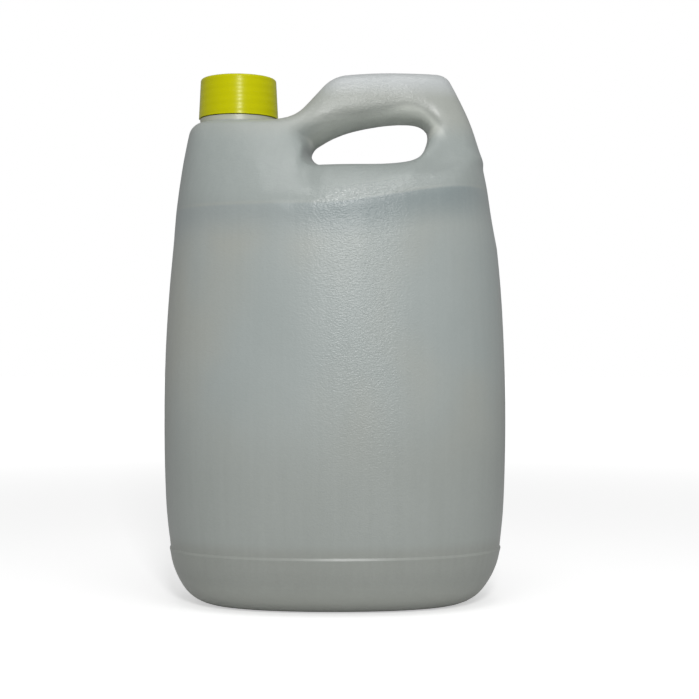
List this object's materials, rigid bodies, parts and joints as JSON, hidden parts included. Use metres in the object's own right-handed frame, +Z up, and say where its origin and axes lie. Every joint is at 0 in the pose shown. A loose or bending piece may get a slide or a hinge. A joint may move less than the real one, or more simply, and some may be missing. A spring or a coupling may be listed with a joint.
{
  "type": "plastic jug",
  "caption": "Hollow oval plastic jug with a through handle moulded into its shoulder and an off-centre neck closed by a lined screw cap.",
  "frame": {"origin": "centre of the jug's footprint on the table, under the middle of the body", "axes": "+Z up; +X along the long side from the neck toward the handle's outer leg; +Y from the front to the back, so the jug is symmetric about the XZ plane"},
  "size_m": [0.1812, 0.118, 0.2793],
  "materials": {
    "natural_plastic": "natural translucent polyethylene, satin with a fine orange peel",
    "cap_plastic": "smooth moulded yellow polypropylene, semi gloss",
    "liner_foam": "white closed-cell foam wad, matte"
  },
  "bodies": {
    "jug": {"jug_body": "natural_plastic"},
    "liner": {"cap_liner": "liner_foam"},
    "cap": {"screw_cap": "cap_plastic"}
  },
  "joints": [
    {"name": "cap_rise", "type": "slide", "parent": "jug", "child": "liner", "axis": [0, 0, 1], "range_m": [0, 0.0253]},
    {"name": "cap_turn", "type": "hinge", "parent": "liner", "child": "cap", "pos_m": [-0.0515, 0, 0.2668], "axis": [0, 0, 1], "range_deg": [0, 2160]}
  ],
  "couplings": [
    {"joint": "cap_rise", "follows": "cap_turn", "m_per_rad": 0.00066845}
  ]
}
